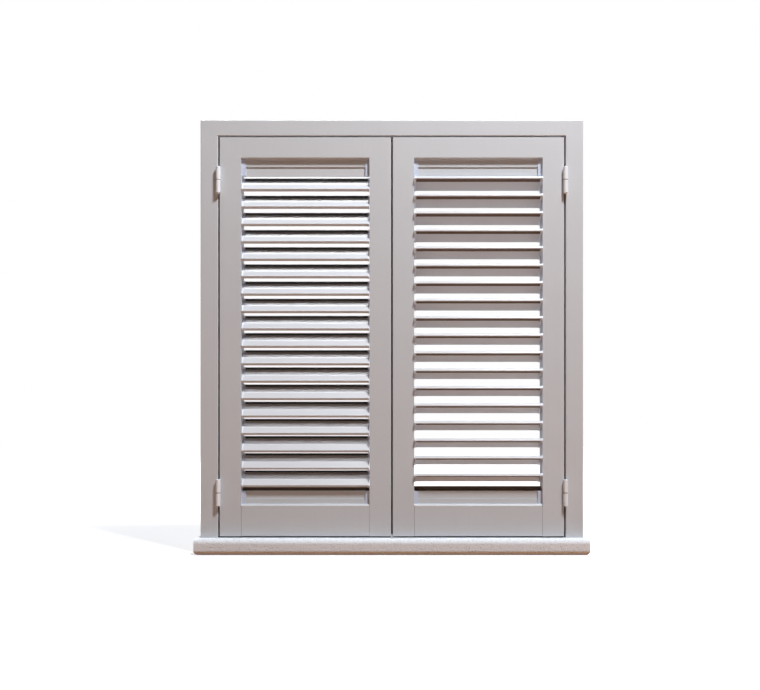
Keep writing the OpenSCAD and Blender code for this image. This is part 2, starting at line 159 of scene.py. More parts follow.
def blank_tree(owner: bpy.types.Material | bpy.types.World) -> bpy.types.NodeTree:
    """Gives a material or a world an empty node tree and returns it."""
    owner.use_nodes = True
    owner.node_tree.nodes.clear()
    return owner.node_tree


# Setting and sockets of a node that mixes colours
MIX_COLOURS = {"data_type": "RGBA"}
MIX_FACTOR, MIX_FIRST, MIX_SECOND, MIX_RESULT = 0, 6, 7, 2


@dataclass(frozen=True)
class Finish:
    """A surface finish that builds its material once and keeps it.

    Attributes:
        name: Plain name of the material and of how its surface was made.
        slot: Slot of the record that it belongs to; not used.
    """

    name: str
    slot: Slot

    def material(self) -> bpy.types.Material:
        """Makes the material on first use and keeps it.

        Returns:
            The material of this finish.
        """
        made = bpy.data.materials.get(self.name)
        if made is not None:
            return made
        made = bpy.data.materials.new(self.name)
        tree = blank_tree(made)
        place = add_node(tree, "ShaderNodeTexCoord").outputs["Object"]
        shader = self.shade(tree, place)
        add_node(tree, "ShaderNodeOutputMaterial", {"Surface": shader.outputs[0]})
        return made

    def shade(self, tree: bpy.types.NodeTree, place: bpy.types.NodeSocket) -> bpy.types.Node:
        """Builds the nodes of the finish.

        Args:
            tree: Node tree of the material.
            place: Position on the part in metres.

        Returns:
            The shader node.
        """
        raise NotImplementedError


@dataclass(frozen=True)
class PowderCoat(Finish):
    """Aluminium extrusion, sprayed with polyester powder and baked.

    A satin skin with a faint pebble, clouds of slightly lighter and darker grey, and thin runs
    of rain dust. The powder's real pebble is under a millimetre and is drawn coarser, or it
    would not show. A run begins where its noise passes streak_start, and takes dust_share of the
    dust's colour from streak_full on.
    """

    tone: str = "#cdd0d4"
    cloud_tone: str = "#c5c7ca"
    dust_tone: str = "#aea59e"
    dust_share: float = 0.04
    cloud_mm: float = 160
    streak_width_mm: float = 9
    streak_length_mm: float = 420
    streak_start: float = 0.5
    streak_full: float = 0.8
    pebble_mm: float = 2.2
    pebble_depth_mm: float = 0.05
    pebble_strength: float = 0.5
    roughness: float = 0.42
    roughness_spread: float = 0.10
    ior: float = 1.5

    def shade(self, tree: bpy.types.NodeTree, place: bpy.types.NodeSocket) -> bpy.types.Node:
        """Builds clouds, dust runs and pebble into one coated shader.

        Args:
            tree: Node tree of the material.
            place: Position on the part in metres.

        Returns:
            The shader node.
        """
        cloud = add_node(tree, "ShaderNodeTexNoise",
                         {"Vector": place, "Scale": per_metre(self.cloud_mm), "Detail": SOME_LAYERS})
        colour = add_node(tree, "ShaderNodeMix", {
            MIX_FACTOR: cloud.outputs["Fac"],
            MIX_FIRST: linear(self.tone),
            MIX_SECOND: linear(self.cloud_tone),
        }, **MIX_COLOURS)
        stretch = (per_metre(self.streak_width_mm), per_metre(self.streak_width_mm),
                   per_metre(self.streak_length_mm))
        runs = add_node(tree, "ShaderNodeMapping", {"Vector": place, "Scale": stretch})
        streak = add_node(tree, "ShaderNodeTexNoise",
                          {"Vector": runs.outputs[0], "Scale": 1.0, "Detail": FEW_LAYERS})
        share = add_node(tree, "ShaderNodeMapRange", {
            "Value": streak.outputs["Fac"],
            "From Min": self.streak_start,
            "From Max": self.streak_full,
            "To Max": self.dust_share,
        })
        dusty = add_node(tree, "ShaderNodeMix", {
            MIX_FACTOR: share.outputs[0],
            MIX_FIRST: colour.outputs[MIX_RESULT],
            MIX_SECOND: linear(self.dust_tone),
        }, **MIX_COLOURS)
        pebble = add_node(tree, "ShaderNodeTexNoise",
                          {"Vector": place, "Scale": per_metre(self.pebble_mm), "Detail": FEW_LAYERS})
        rough = add_node(tree, "ShaderNodeMapRange", {
            "Value": cloud.outputs["Fac"],
            "To Min": self.roughness - self.roughness_spread / 2,
            "To Max": self.roughness + self.roughness_spread / 2,
        })
        bump = add_node(tree, "ShaderNodeBump", {
            "Strength": self.pebble_strength,
            "Distance": self.pebble_depth_mm * MM,
            "Height": pebble.outputs["Fac"],
        })
        return add_node(tree, "ShaderNodeBsdfPrincipled", {
            "Base Color": dusty.outputs[MIX_RESULT],
            "Roughness": rough.outputs[0],
            "IOR": self.ior,
            "Normal": bump.outputs[0],
        })


@dataclass(frozen=True)
class SlatCoat(Finish):
    """Drawn aluminium slat with a baked coat and moulded nylon end caps.

    The coat shows faint lines along the slat from the drawing die, made coarser here, so that
    they show. The end caps are bluish white and duller. They lie nearer to the window's
    middle than cap_inner and farther from it than cap_outer.
    """

    # A little lighter than the frame's coat: painted light for the brighter light on the slats' tops
    tone: str = "#d0d2d6"
    line_tone: str = "#c6c8cb"
    cap_tone: str = "#dfe4ee"
    cap_inner: float = 64 * MM
    cap_outer: float = 393 * MM
    line_mm: float = 2.4
    line_length_mm: float = 700
    line_depth_mm: float = 0.04
    line_strength: float = 0.4
    cloud_mm: float = 90
    roughness: float = 0.38
    cap_roughness: float = 0.55
    ior: float = 1.5

    def shade(self, tree: bpy.types.NodeTree, place: bpy.types.NodeSocket) -> bpy.types.Node:
        """Builds draw lines on the slat and a plain moulded skin on its caps.

        Args:
            tree: Node tree of the material.
            place: Position on the part in metres.

        Returns:
            The shader node.
        """
        stretch = (per_metre(self.line_length_mm), per_metre(self.line_mm), per_metre(self.line_mm))
        along = add_node(tree, "ShaderNodeMapping", {"Vector": place, "Scale": stretch})
        lines = add_node(tree, "ShaderNodeTexNoise",
                         {"Vector": along.outputs[0], "Scale": 1.0, "Detail": FEW_LAYERS})
        cloud = add_node(tree, "ShaderNodeTexNoise",
                         {"Vector": place, "Scale": per_metre(self.cloud_mm), "Detail": SOME_LAYERS})
        mottle = add_node(tree, "ShaderNodeMath",
                          {0: lines.outputs["Fac"], 1: cloud.outputs["Fac"]}, operation="MULTIPLY")
        coat = add_node(tree, "ShaderNodeMix", {
            MIX_FACTOR: mottle.outputs[0],
            MIX_FIRST: linear(self.tone),
            MIX_SECOND: linear(self.line_tone),
        }, **MIX_COLOURS)
        axes = add_node(tree, "ShaderNodeSeparateXYZ", {"Vector": place})
        away = add_node(tree, "ShaderNodeMath", {0: axes.outputs["X"]}, operation="ABSOLUTE")
        inner = add_node(tree, "ShaderNodeMath", {0: away.outputs[0], 1: self.cap_inner},
                         operation="LESS_THAN")
        outer = add_node(tree, "ShaderNodeMath", {0: away.outputs[0], 1: self.cap_outer},
                         operation="GREATER_THAN")
        cap = add_node(tree, "ShaderNodeMath", {0: inner.outputs[0], 1: outer.outputs[0]},
                       operation="MAXIMUM")
        colour = add_node(tree, "ShaderNodeMix", {
            MIX_FACTOR: cap.outputs[0],
            MIX_FIRST: coat.outputs[MIX_RESULT],
            MIX_SECOND: linear(self.cap_tone),
        }, **MIX_COLOURS)
        rough = add_node(tree, "ShaderNodeMapRange", {
            "Value": cap.outputs[0], "To Min": self.roughness, "To Max": self.cap_roughness,
        })
        bump = add_node(tree, "ShaderNodeBump", {
            "Strength": self.line_strength,
            "Distance": self.line_depth_mm * MM,
            "Height": lines.outputs["Fac"],
        })
        return add_node(tree, "ShaderNodeBsdfPrincipled", {
            "Base Color": colour.outputs[MIX_RESULT],
            "Roughness": rough.outputs[0],
            "IOR": self.ior,
            "Normal": bump.outputs[0],
        })


@dataclass(frozen=True)
class MouldedSkin(Finish):
    """A moulded, dipped or woven skin: nylon, rubber, thick stove enamel, or pile dark as painted
    shade.

    One tone with soft mottling and a fine grain from the mould or the weave. The grain is drawn
    a little coarser than it is, so that it shows.
    """

    tone: str = "#ccd4e4"
    mottle_tone: str = "#c2cada"
    mottle_mm: float = 25
    grain_mm: float = 1.2
    grain_depth_mm: float = 0.04
    grain_strength: float = 0.5
    roughness: float = 0.55
    roughness_spread: float = 0.10
    ior: float = 1.5

    def shade(self, tree: bpy.types.NodeTree, place: bpy.types.NodeSocket) -> bpy.types.Node:
        """Builds mottling and grain.

        Args:
            tree: Node tree of the material.
            place: Position on the part in metres.

        Returns:
            The shader node.
        """
        mottle = add_node(tree, "ShaderNodeTexNoise",
                          {"Vector": place, "Scale": per_metre(self.mottle_mm), "Detail": SOME_LAYERS})
        grain = add_node(tree, "ShaderNodeTexNoise",
                         {"Vector": place, "Scale": per_metre(self.grain_mm), "Detail": FEW_LAYERS})
        colour = add_node(tree, "ShaderNodeMix", {
            MIX_FACTOR: mottle.outputs["Fac"],
            MIX_FIRST: linear(self.tone),
            MIX_SECOND: linear(self.mottle_tone),
        }, **MIX_COLOURS)
        rough = add_node(tree, "ShaderNodeMapRange", {
            "Value": grain.outputs["Fac"],
            "To Min": self.roughness - self.roughness_spread / 2,
            "To Max": self.roughness + self.roughness_spread / 2,
        })
        bump = add_node(tree, "ShaderNodeBump", {
            "Strength": self.grain_strength,
            "Distance": self.grain_depth_mm * MM,
            "Height": grain.outputs["Fac"],
        })
        return add_node(tree, "ShaderNodeBsdfPrincipled", {
            "Base Color": colour.outputs[MIX_RESULT],
            "Roughness": rough.outputs[0],
            "IOR": self.ior,
            "Normal": bump.outputs[0],
        })


@dataclass(frozen=True)
class BrushedSteel(Finish):
    """Cold-drawn steel, brushed along its length.

    Grey metal with fine upright lines, drawn coarser than a brush leaves them, so that they show.
    """

    tone: str = "#c3c2c3"
    line_tone: str = "#a6a5a6"
    line_mm: float = 0.9
    line_length_mm: float = 60
    line_depth_mm: float = 0.03
    line_strength: float = 0.3
    roughness: float = 0.34
    roughness_spread: float = 0.16

    def shade(self, tree: bpy.types.NodeTree, place: bpy.types.NodeSocket) -> bpy.types.Node:
        """Builds brush lines into colour, gloss and bump.

        Args:
            tree: Node tree of the material.
            place: Position on the part in metres.

        Returns:
            The shader node.
        """
        stretch = (per_metre(self.line_mm), per_metre(self.line_mm), per_metre(self.line_length_mm))
        along = add_node(tree, "ShaderNodeMapping", {"Vector": place, "Scale": stretch})
        lines = add_node(tree, "ShaderNodeTexNoise",
                         {"Vector": along.outputs[0], "Scale": 1.0, "Detail": SOME_LAYERS})
        colour = add_node(tree, "ShaderNodeMix", {
            MIX_FACTOR: lines.outputs["Fac"],
            MIX_FIRST: linear(self.tone),
            MIX_SECOND: linear(self.line_tone),
        }, **MIX_COLOURS)
        rough = add_node(tree, "ShaderNodeMapRange", {
            "Value": lines.outputs["Fac"],
            "To Min": self.roughness - self.roughness_spread / 2,
            "To Max": self.roughness + self.roughness_spread / 2,
        })
        bump = add_node(tree, "ShaderNodeBump", {
            "Strength": self.line_strength,
            "Distance": self.line_depth_mm * MM,
            "Height": lines.outputs["Fac"],
        })
        return add_node(tree, "ShaderNodeBsdfPrincipled", {
            "Base Color": colour.outputs[MIX_RESULT],
            "Metallic": 1.0,
            "Roughness": rough.outputs[0],
            "Normal": bump.outputs[0],
        })


@dataclass(frozen=True)
class CastStone(Finish):
    """Cast stone slab with an open, sandy face.

    Pale grains lie in a greyer paste, with small dark pits between them. The grains are drawn
    a little larger than sand, so that they show at this distance. Where grain and sand together
    stay under paste_level all is paste, and above grain_level all is grain. A pit is full up to
    pit_core and ends at pit_edge, as shares of pit_mm, and is deeper in some patches than others.
    """

    tone: str = "#f3f6fb"
    paste_tone: str = "#e5e7eb"
    pit_tone: str = "#bdb7b6"
    grain_mm: float = 6
    sand_mm: float = 2.6
    paste_level: float = 0.75
    grain_level: float = 1.3
    pit_mm: float = 8
    pit_core: float = 0.1
    pit_edge: float = 0.3
    pit_share: float = 0.8
    stain_mm: float = 130
    relief_mm: float = 0.9
    relief_strength: float = 0.8
    roughness: float = 0.85
    ior: float = 1.45

    def shade(self, tree: bpy.types.NodeTree, place: bpy.types.NodeSocket) -> bpy.types.Node:
        """Builds grains, pits and stains.

        Args:
            tree: Node tree of the material.
            place: Position on the part in metres.

        Returns:
            The shader node.
        """
        stain = add_node(tree, "ShaderNodeTexNoise",
                         {"Vector": place, "Scale": per_metre(self.stain_mm), "Detail": MANY_LAYERS})
        grain = add_node(tree, "ShaderNodeTexNoise",
                         {"Vector": place, "Scale": per_metre(self.grain_mm), "Detail": MANY_LAYERS})
        sand = add_node(tree, "ShaderNodeTexNoise",
                        {"Vector": place, "Scale": per_metre(self.sand_mm), "Detail": FEW_LAYERS})
        pits = add_node(tree, "ShaderNodeTexVoronoi",
                        {"Vector": place, "Scale": per_metre(self.pit_mm)})
        mixed = add_node(tree, "ShaderNodeMath",
                         {0: grain.outputs["Fac"], 1: sand.outputs["Fac"]}, operation="ADD")
        share = add_node(tree, "ShaderNodeMapRange", {
            "Value": mixed.outputs[0],
            "From Min": self.paste_level,
            "From Max": self.grain_level,
        })
        paste = add_node(tree, "ShaderNodeMix", {
            MIX_FACTOR: share.outputs[0],
            MIX_FIRST: linear(self.paste_tone),
            MIX_SECOND: linear(self.tone),
        }, **MIX_COLOURS)
        hollow = add_node(tree, "ShaderNodeMapRange", {
            "Value": pits.outputs["Distance"],
            "From Min": self.pit_core,
            "From Max": self.pit_edge,
            "To Min": self.pit_share,
            "To Max": 0.0,
        })
        some = add_node(tree, "ShaderNodeMath",
                        {0: hollow.outputs[0], 1: stain.outputs["Fac"]}, operation="MULTIPLY")
        colour = add_node(tree, "ShaderNodeMix", {
            MIX_FACTOR: some.outputs[0],
            MIX_FIRST: paste.outputs[MIX_RESULT],
            MIX_SECOND: linear(self.pit_tone),
        }, **MIX_COLOURS)
        height = add_node(tree, "ShaderNodeMath",
                          {0: mixed.outputs[0], 1: some.outputs[0]}, operation="SUBTRACT")
        bump = add_node(tree, "ShaderNodeBump", {
            "Strength": self.relief_strength,
            "Distance": self.relief_mm * MM,
            "Height": height.outputs[0],
        })
        return add_node(tree, "ShaderNodeBsdfPrincipled", {
            "Base Color": colour.outputs[MIX_RESULT],
            "Roughness": self.roughness,
            "IOR": self.ior,
            "Normal": bump.outputs[0],
        })


# Satin grey with a faint pebble
COAT = PowderCoat("powder coated aluminium, sprayed and baked", Slot.POWDER_COAT)
# Satin grey with faint lines, a little lighter than the frame's coat as painted light on the slats'
# tops, and bluish white caps
SLAT = SlatCoat("coated aluminium slat, drawn", Slot.SLAT_COAT)
# Bluish and dull, as it leaves the mould
NYLON = MouldedSkin("nylon, injection moulded", Slot.NYLON)
# Nearly white, smooth and with a soft gloss
ENAMEL = MouldedSkin("enamelled steel, stoved", Slot.ZINC, tone="#eff2f7", mottle_tone="#e7eaee",
                     grain_mm=2.0, roughness=0.35)
# Nearly black and dull
RUBBER = MouldedSkin("EPDM rubber, extruded", Slot.NYLON, tone="#1f1d1c", mottle_tone="#292624",
                     mottle_mm=12, grain_mm=0.8, roughness=0.7, ior=1.52)
# A brown fuzz without any gloss, dark to paint the shade under the slats' lips and on the lower
# fillers
PAINTED_SHADE_PILE = MouldedSkin("nylon pile, woven", Slot.NYLON, tone="#66564b", mottle_tone="#5a4b41",
                   mottle_mm=10, grain_mm=1.0, grain_depth_mm=0.2, roughness=0.9)
# Grey metal with a streaked gloss
STEEL = BrushedSteel("steel, cold drawn and brushed", Slot.STEEL)
# Pale and sandy, with small pits
STONE = CastStone("cast stone, sand faced", Slot.STONE)


# Small helpers for meshes


def dress(node: str, finish: Finish) -> None:
    """Gives a solid of the frame its finish.

    Args:
        node: Name of the solid.
        finish: Finish that covers all of it.
    """
    solid = frame["nodes"][node]
    solid.data.materials.clear()
    solid.data.materials.append(finish.material())
    LOG.info("dressed %s with %s", node, finish.name)


def add_piece(name: str, vertices: Sequence[Point], faces: Sequence[Sequence[int]], finish: Finish,
              body: str) -> None:
    """Makes one mesh piece that moves with a body.

    Args:
        name: Name of the piece.
        vertices: Points in metres.
        faces: Point numbers of each face, outside seen anticlockwise.
        finish: Finish of the piece.
        body: Body that carries the piece.
    """
    mesh = bpy.data.meshes.new(name)
    mesh.from_pydata(vertices, [], faces)
    mesh.validate()
    mesh.shade_smooth()
    mesh.set_sharp_from_angle(angle=math.radians(CREASE_DEG))
    mesh.materials.append(finish.material())
    piece = bpy.data.objects.new(name, mesh)
    bpy.context.scene.collection.objects.link(piece)
    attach(piece, body)
    LOG.info("made %s on %s", name, body)


def loft(rings: Sequence[Ring]) -> Skin:
    """Joins rings of equal count into a closed skin with a cap at either end.

    Args:
        rings: Rings of points, each seen anticlockwise from the last ring's outside.

    Returns:
        Points and faces.
    """
    count = len(rings[0])
    points = [p for ring in rings for p in ring]
    faces = []
    for level in range(len(rings) - 1):
        for i in range(count):
            j = (i + 1) % count
            low, high = level * count, (level + 1) * count
            faces.append([low + i, low + j, high + j, high + i])
    faces.append(list(reversed(range(count))))
    faces.append(list(range((len(rings) - 1) * count, len(rings) * count)))
    return points, faces


def run_along(outline: Outline, start: float, end: float) -> Skin:
    """Runs an outline along the width of the window.

    Args:
        outline: Depth and height of its points, seen anticlockwise from the right.
        start: Place of its left end.
        end: Place of its right end.

    Returns:
        Points and faces.
    """
    return loft([[(x, y, z) for y, z in outline] for x in (start, end)])


def merge(skins: Sequence[Skin]) -> Skin:
    """Puts closed skins together, so that they make one piece.

    Args:
        skins: Points and faces of each of them.

    Returns:
        Points and faces of all.
    """
    points: list[Point] = []
    faces: list[list[int]] = []
    for more, skin in skins:
        start = len(points)
        points += more
        faces += [[start + i for i in face] for face in skin]
    return points, faces


def arc(centre: tuple[float, float], radius: float, start_deg: float, end_deg: float,
        steps: int = 8) -> Outline:
    """Points of an arc.

    Args:
        centre: Middle of the circle.
        radius: Radius of the circle.
        start_deg: Angle of the first point.
        end_deg: Angle of the last point.
        steps: Number of stretches between the points.

    Returns:
        The points in order.
    """
    turns = [math.radians(start_deg + (end_deg - start_deg) * i / steps) for i in range(steps + 1)]
    return [(centre[0] + radius * math.cos(a), centre[1] + radius * math.sin(a)) for a in turns]


@dataclass(frozen=True)
class Screw:
    """Countersunk screw with a cross recess, seen from its head.

    Attributes:
        head_d: Diameter of the head.
        flat_share: Diameter of the head's flat top, as a share of the head's.
        proud: Height of the head above the face.
        sunk: Depth of the head below the face.
        recess_d: Width across the recess.
        recess_depth: Depth of the recess.
        floor_share: Width of the recess at its floor, as a share of its width above.
        arms: Number of arms of the recess.
        arm_share: How far the recess draws in between its arms, as a share of its radius.
        segments: Points round the head.
    """

    head_d: float = 7 * MM
    flat_share: float = 0.86
    proud: float = 0.25 * MM
    sunk: float = 0.8 * MM
    recess_d: float = 3.8 * MM
    recess_depth: float = 0.9 * MM
    floor_share: float = 0.7
    arms: int = 4
    arm_share: float = 0.32
    segments: int = 32

    def rings(self, middle: Vector, across: Vector, up: Vector, out: Vector) -> list[Ring]:
        """Rings of the head from its buried edge to the floor of its recess.

        Args:
            middle: Middle of the head on the face.
            across: First direction along the face.
            up: Second direction along the face.
            out: Direction out of the face.

        Returns:
            Rings for a loft.
        """
        half = self.head_d / 2
        recess = self.recess_d / 2
        levels = [
            (half, -self.sunk, 0.0),
            (half, 0.0, 0.0),
            (half * self.flat_share, self.proud, 0.0),
            (recess, self.proud, self.arm_share),
            (recess * self.floor_share, self.proud - self.recess_depth, self.arm_share),
        ]
        made = []
        for radius, height, lobe in levels:
            ring = []
            for i in range(self.segments):
                turn = 2 * math.pi * i / self.segments
                reach = radius * (1 - lobe + lobe * math.cos(self.arms * turn))
                u = reach * math.cos(turn)
                v = reach * math.sin(turn)
                ring.append(tuple(middle + across * u + up * v + out * height))
            made.append(ring)
        return made


@dataclass
class ScrewSet:
    """A group of screws that share one piece.

    Attributes:
        name: Name of the piece.
        body: Body that carries the screws.
        finish: Finish of the heads.
        outward: Direction in which the heads face.
        places: Middle of each head on the face.
        screw: The screw that is repeated.
    """

    name: str
    body: str
    finish: Finish
    outward: Point
    places: list[Point]
    screw: Screw = Screw()

    def build(self) -> None:
        """Makes all heads as one piece."""
        out = Vector(self.outward).normalized()
        across = out.orthogonal().normalized()
        up = out.cross(across)
        heads = [loft(self.screw.rings(Vector(place), across, up, out)) for place in self.places]
        add_piece(self.name, *merge(heads), self.finish, self.body)


# Sub-assemblies


def leaf_edge(side: Side) -> float:
    """Place of a leaf's hinged edge across the window."""
    low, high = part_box(f"{side.word}_hinge_stile")
    return side.value * max(abs(low.x), abs(high.x))


@dataclass(frozen=True)
class FlagScrews:
    """Screws through the flags of the hinges, two to each flag.

    Attributes:
        half: The half of the hinge that the flags belong to.
        hinge_length: Height of a whole hinge.
        setback: Distance of the screws behind the leaf's face.
        spacing: Distance between the two screws of a flag.
    """

    half: HingeHalf
    hinge_length: float = 70 * MM
    setback: float = 17 * MM
    spacing: float = 18 * MM

    def build(self, side: Side) -> None:
        """Makes the four screws of one side as one piece.

        Args:
            side: Half of the window.
        """
        face = leaf_edge(side)
        body = f"{side.word}_leaf"
        if self.half is HingeHalf.FRAME:
            face += side.value * SIDE_GAP
            body = "frame"
        places = []
        for middle in HINGE_HEIGHTS:
            height = middle + self.half.value * self.hinge_length / 4
            for step in (-0.5, 0.5):
                places.append((face, self.setback, height + step * self.spacing))
        name = f"{side.word}_{self.half.name.lower()}_flag_screws"
        outward = (self.half.value * side.value, 0, 0)
        ScrewSet(name, body, STEEL, outward, places).build()


@dataclass(frozen=True)
class HingeWashers:
    """Dark washers between the knuckles of the hinges.

    Attributes:
        axis_in_front: Distance of the hinge axis in front of the leaf's face.
        radius: Radius of a washer, a little more than the knuckles'.
        height: Height of a washer at its rim.
        edge: Size of the bevel round its rim.
        segments: Points round a washer.
    """

    axis_in_front: float = 6.5 * MM
    radius: float = 6.2 * MM
    height: float = 1.2 * MM
    edge: float = 0.3 * MM
    segments: int = 48

    def build(self, side: Side) -> None:
        """Makes both washers of one side as one piece.

        Args:
            side: Half of the window.
        """
        middle = leaf_edge(side) + side.value * SIDE_GAP / 2
        half = self.height / 2
        levels = [
            (self.radius - self.edge, -half - self.edge),
            (self.radius, -half),
            (self.radius, half),
            (self.radius - self.edge, half + self.edge),
        ]
        washers = []
        for height in HINGE_HEIGHTS:
            rings = []
            for radius, rise in levels:
                ring = arc((middle, -self.axis_in_front), radius, 0, 360, self.segments)[:-1]
                rings.append([(x, y, height + rise) for x, y in ring])
            washers.append(loft(rings))
        add_piece(f"{side.word}_hinge_washers", *merge(washers), RUBBER, "frame")


@dataclass
class OuterFrame:
    """Jambs, head, sill, hinge halves and keeper, which stay put while the leaves swing.

    Attributes:
        seal_width: Width of the rear seal on its stop.
        seal_height: How far the seal's bulb stands out of the stop.
        seal_edge: Distance of the seal from the inner edge of jamb and head, kept small so that the
            seal's black paints the shadow in the gap round the leaves.
        seal_steps: Stretches round the seal's bulb.
        keeper_screw_inset: Distance of the keeper's screws from its ends.
        keeper_screw_row: Distance of those screws behind the keeper's front edge.
        flag_screws: The screws in the hinge flags on the jambs.
        washers: The washers of the hinges.
    """

    seal_width: float = 8 * MM
    seal_height: float = 3.3 * MM
    seal_edge: float = 0.2 * MM
    seal_steps: int = 12
    keeper_screw_inset: float = 6 * MM
    keeper_screw_row: float = 20 * MM
    flag_screws: FlagScrews = FlagScrews(HingeHalf.FRAME)
    washers: HingeWashers = HingeWashers()

    def build(self) -> None:
        """Dresses the solids and adds the seal, whose black also paints the shadow round the leaves,
        screws and washers.
        """
        for node in ("left_jamb", "right_jamb", "head"):
            dress(node, COAT)
        dress("sill", STONE)
        dress("hinge_pintles", ENAMEL)
        dress("centre_stop", ENAMEL)
        self.rear_seal()
        self.keeper_screws()
        for side in Side:
            self.flag_screws.build(side)
            self.washers.build(side)

    def rear_seal(self) -> None:
        """Makes the black bulb seal up one jamb, along the head and down the other, also painting the
        gap's shadow.
        """
        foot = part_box("left_jamb")[0].z
        leaf_low, leaf_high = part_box("left_hinge_stile")
        half = -leaf_low.x + SIDE_GAP
        top = leaf_high.z + TOP_GAP
        face = leaf_high.y + STOP_GAP
        radius = self.seal_width / 2
        bulb = arc((self.seal_edge + radius, 0), radius, 180, 0, self.seal_steps)
        squeeze = self.seal_height / radius
        section = [(inset, face - rise * squeeze) for inset, rise in bulb]
        route = [(Side.LEFT, False), (Side.LEFT, True), (Side.RIGHT, True), (Side.RIGHT, False)]
        rings = []
        for side, at_head in route:
            rings.append([
                (side.value * (half - inset), y, top - inset if at_head else foot)
                for inset, y in section
            ])
        # The seal's black also paints the shadow in the gap round the leaves.
        add_piece("rear_seal", *loft(rings), RUBBER, "frame")

    def keeper_screws(self) -> None:
        """Makes the screws that hold the keeper on the sill."""
        low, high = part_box("centre_stop")
        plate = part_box("sill")[1].z + KEEPER_THICKNESS
        row = low.y + self.keeper_screw_row
        columns = (low.x + self.keeper_screw_inset, 0.0, high.x - self.keeper_screw_inset)
        places = [(x, row, plate) for x in columns]
        ScrewSet("keeper_screws", "frame", STEEL, (0, 0, 1), places).build()


@dataclass
class Leaf:
    """One hinged leaf with its stiles, rails, fillers, drive and seals, some of them dark to paint
    shade.

    Attributes:
        side: Half of the window that the leaf closes.
        lip_depth: Distance of the meeting lip behind the leaf's face.
        lip_reach: How far the lip's tip stands out of the leaf's edge.
        lip_thickness: Thickness of the lip.
        brush_setback: Distance of the brush under the leaf behind the leaf's face.
        brush_depth: Thickness of the brush from front to back.
        brush_clear: Height of its tips above the sill.
        brush_inset: How far the brush stays from the ends of the leaf.
        plug_foot: Height of the plugs' underside above the foot of the lower filler.
        plug_rise: Height of the plugs above their underside.
        plug_wall: Thickness of the plugs' walls.
        plug_front: Distance of the plugs behind the leaf's face.
        plug_back: Distance of their rear wall behind the leaf's face.
        ledge_seal: Thickness of the dark pile between them, in front of the filler's upstand, which
            paints the shade there.
        flag_screws: The screws in the hinge flags on the leaf.
    """

    side: Side
    lip_depth: float
    lip_reach: float
    lip_thickness: float = 1.6 * MM
    brush_setback: float = 6 * MM
    brush_depth: float = 4 * MM
    brush_clear: float = 0.4 * MM
    brush_inset: float = 1.5 * MM
    plug_foot: float = 31 * MM
    plug_rise: float = 15 * MM
    plug_wall: float = 3 * MM
    plug_front: float = 16 * MM
    plug_back: float = 26 * MM
    ledge_seal: float = 1.2 * MM
    flag_screws: FlagScrews = FlagScrews(HingeHalf.LEAF)

    @property
    def body(self) -> str:
        """Body that carries the leaf."""
        return f"{self.side.word}_leaf"

    def node(self, name: str) -> str:
        """Name of one of the leaf's solids."""
        return f"{self.side.word}_{name}"

    def build(self) -> None:
        """Dresses the solids and adds lip, brush, the filler's dark pile and screws; brush and pile
        paint shade.
        """
        for name in ("hinge_stile", "meeting_stile", "top_rail", "bottom_rail", "fillers"):
            dress(self.node(name), COAT)
        dress(self.node("pivot_strips"), NYLON)
        dress(self.node("hinge_knuckles"), ENAMEL)
        dress(self.node("link_rod"), STEEL)
        dress(self.node("flush_bolt"), STEEL)
        self.meeting_lip()
        self.bottom_brush()
        self.filler_seal()
        self.flag_screws.build(self.side)

    def meeting_lip(self) -> None:
        """Makes the rubber lip that closes the gap between the leaves."""
        low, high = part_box(self.node("meeting_stile"))
        sign = self.side.value
        edge = min(abs(low.x), abs(high.x))
        half = self.lip_thickness / 2
        tip = arc((self.lip_reach - half, self.lip_depth), half, -90, 90)
        root = arc((-half, self.lip_depth), half, 90, 270)
        section = [(sign * (edge - reach), depth) for reach, depth in tip + root]
        if self.side is Side.RIGHT:
            section.reverse()
        rings = [[(x, y, z) for x, y in section] for z in (low.z, high.z)]
        add_piece(self.node("meeting_lip"), *loft(rings), RUBBER, self.body)

    def bottom_brush(self) -> None:
        """Makes the black sealing strip that hangs under the leaf down to the sill, also painting the
        shadow there.
        """
        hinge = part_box(self.node("hinge_stile"))
        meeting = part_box(self.node("meeting_stile"))
        low = min(hinge[0].x, meeting[0].x) + self.brush_inset
        high = max(hinge[1].x, meeting[1].x) - self.brush_inset
        top = hinge[0].z
        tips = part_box("sill")[1].z + self.brush_clear
        half = self.brush_depth / 2
        middle = self.brush_setback + half
        section = [(middle + half, top), (middle - half, top)]
        section += arc((middle, tips + half), half, 180, 360)
        # The brush's black also paints the shadow in the gap under the leaf.
        add_piece(self.node("bottom_brush"), *run_along(section, low, high), RUBBER, self.body)

    def filler_seal(self) -> None:
        """Makes dark pile on the lower filler's ledge, with plugs that close it at the stiles,
        painting the deep shade under the last slat.
        """
        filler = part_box(self.node("fillers"))
        stiles = [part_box(self.node(name)) for name in ("hinge_stile", "meeting_stile")]
        low_stile, high_stile = sorted(stiles, key=lambda box: box[0].x)
        foot = filler[0].z + self.plug_foot
        ledge = foot + self.plug_wall
        top = foot + self.plug_rise
        half = self.plug_wall / 2
        plug = [(self.plug_front, foot), (self.plug_back + self.plug_wall, foot)]
        plug += arc((self.plug_back + half, top - half), half, 0, 180)
        plug += [(self.plug_back, ledge), (self.plug_front, ledge)]
        half = self.ledge_seal / 2
        strip = [(self.plug_back - self.ledge_seal, ledge), (self.plug_back, ledge)]
        strip += arc((self.plug_back - half, top - half), half, 0, 180)
        lengths = [
            run_along(plug, low_stile[1].x, filler[0].x),
            run_along(strip, filler[0].x, filler[1].x),
            run_along(plug, filler[1].x, high_stile[0].x),
        ]
        # The dark pile and plugs paint the deep shade under the last slat.
        add_piece(self.node("filler_seal"), *merge(lengths), PAINTED_SHADE_PILE, self.body)


